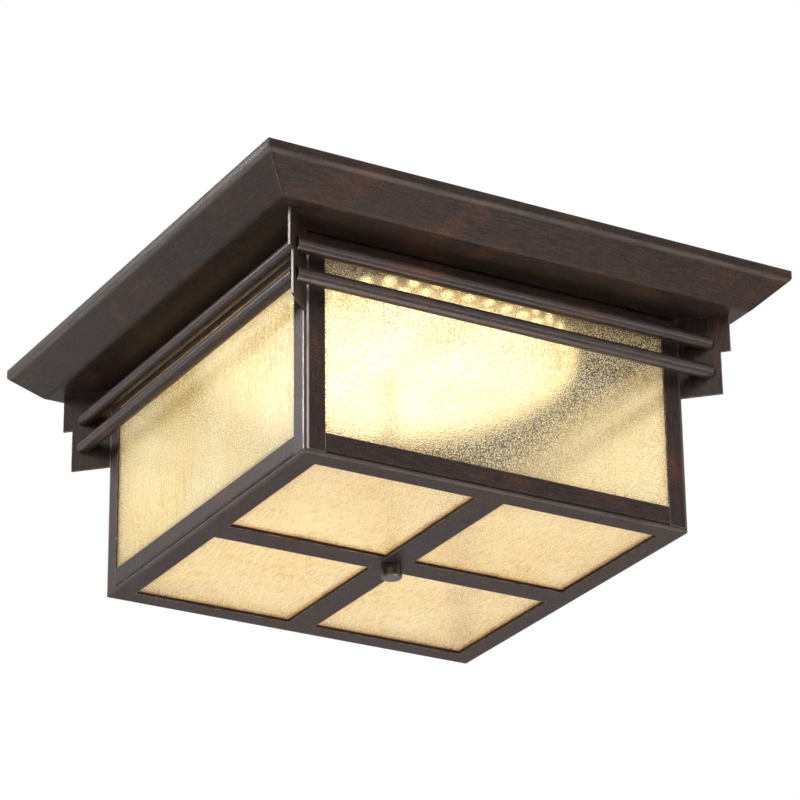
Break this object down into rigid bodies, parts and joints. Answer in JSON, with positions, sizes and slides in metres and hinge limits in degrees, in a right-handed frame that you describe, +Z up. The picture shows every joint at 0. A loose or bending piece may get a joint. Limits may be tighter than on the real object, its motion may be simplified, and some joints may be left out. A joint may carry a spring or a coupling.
{
  "type": "outdoor ceiling light",
  "caption": "Square flush-mount outdoor ceiling light: bronze canopy, glazed lantern that lowers off a centre rod, round side rails, corner fins and a screw finial.",
  "frame": {"origin": "centre of the ceiling face, on the crossbar's top plane between its two outlet box slots", "axes": "+Z up into the ceiling, -Y towards the front, the crossbar along X; the light hangs along -Z"},
  "size_m": [0.381, 0.381, 0.182],
  "materials": {
    "bronze": "satin dark bronze paint, lightly rubbed",
    "rubbed_bronze": "satin dark bronze paint, rubbed to brown",
    "seeded_glass": "amber seeded glass",
    "lens_plastic": "dimpled translucent lens",
    "white_enamel": "white reflector paint",
    "white_case": "white moulded case",
    "chips": "yellow phosphor",
    "zinc": "bright zinc plate",
    "steel": "plain steel",
    "green_screw": "green ground screw",
    "rubber": "black rubber and foam"
  },
  "bodies": {
    "canopy": {"canopy_pan": "bronze", "ceiling_gasket": "rubber", "crossbar": "zinc", "crossbar_nut": "steel", "ground_screw": "green_screw", "centre_rod": "steel", "canopy_washer": "zinc", "canopy_nut": "steel", "driver_case": "white_case", "driver_screws": "steel", "driver_glands": "rubber", "wire_grommet": "rubber", "lamp_base": "white_enamel", "lamp_board": "white_enamel", "lamp_chips": "chips", "board_screws": "steel", "lens": "lens_plastic", "lens_clips": "zinc", "lens_collar": "lens_plastic"},
    "lantern": {"post_front_left": "bronze", "post_front_right": "bronze", "post_back_right": "bronze", "post_back_left": "bronze", "top_rail_front": "bronze", "top_rail_right": "bronze", "top_rail_back": "bronze", "top_rail_left": "bronze", "bottom_rail_front": "bronze", "bottom_rail_right": "bronze", "bottom_rail_back": "bronze", "bottom_rail_left": "bronze", "fin_front_left": "rubbed_bronze", "fin_front_right": "rubbed_bronze", "fin_back_right": "rubbed_bronze", "fin_back_left": "rubbed_bronze", "upper_rod_front": "rubbed_bronze", "upper_rod_right": "rubbed_bronze", "upper_rod_back": "rubbed_bronze", "upper_rod_left": "rubbed_bronze", "lower_rod_front": "rubbed_bronze", "lower_rod_right": "rubbed_bronze", "lower_rod_back": "rubbed_bronze", "lower_rod_left": "rubbed_bronze", "glass_front": "seeded_glass", "glass_right": "seeded_glass", "glass_back": "seeded_glass", "glass_left": "seeded_glass", "glass_clips": "zinc", "bottom_frame": "bronze", "pane_front_left": "seeded_glass", "pane_front_right": "seeded_glass", "pane_back_right": "seeded_glass", "pane_back_left": "seeded_glass", "pane_clips": "zinc"},
    "finial_washer": {"finial_washer": "rubber"},
    "finial": {"finial": "bronze"}
  },
  "joints": [
    {"name": "lantern_drop", "type": "slide", "parent": "canopy", "child": "lantern", "axis": [0, 0, -1], "range_m": [0, 0.16]},
    {"name": "finial_travel", "type": "slide", "parent": "lantern", "child": "finial_washer", "axis": [0, 0, -1], "range_m": [0, 0.008]},
    {"name": "finial_turn", "type": "hinge", "parent": "finial_washer", "child": "finial", "pos_m": [0, 0, -0.178], "axis": [0, 0, -1], "range_deg": [0, 2881]}
  ],
  "couplings": [
    {"joint": "finial_turn", "follows": "finial_travel", "rad_per_m": 6283.2}
  ]
}
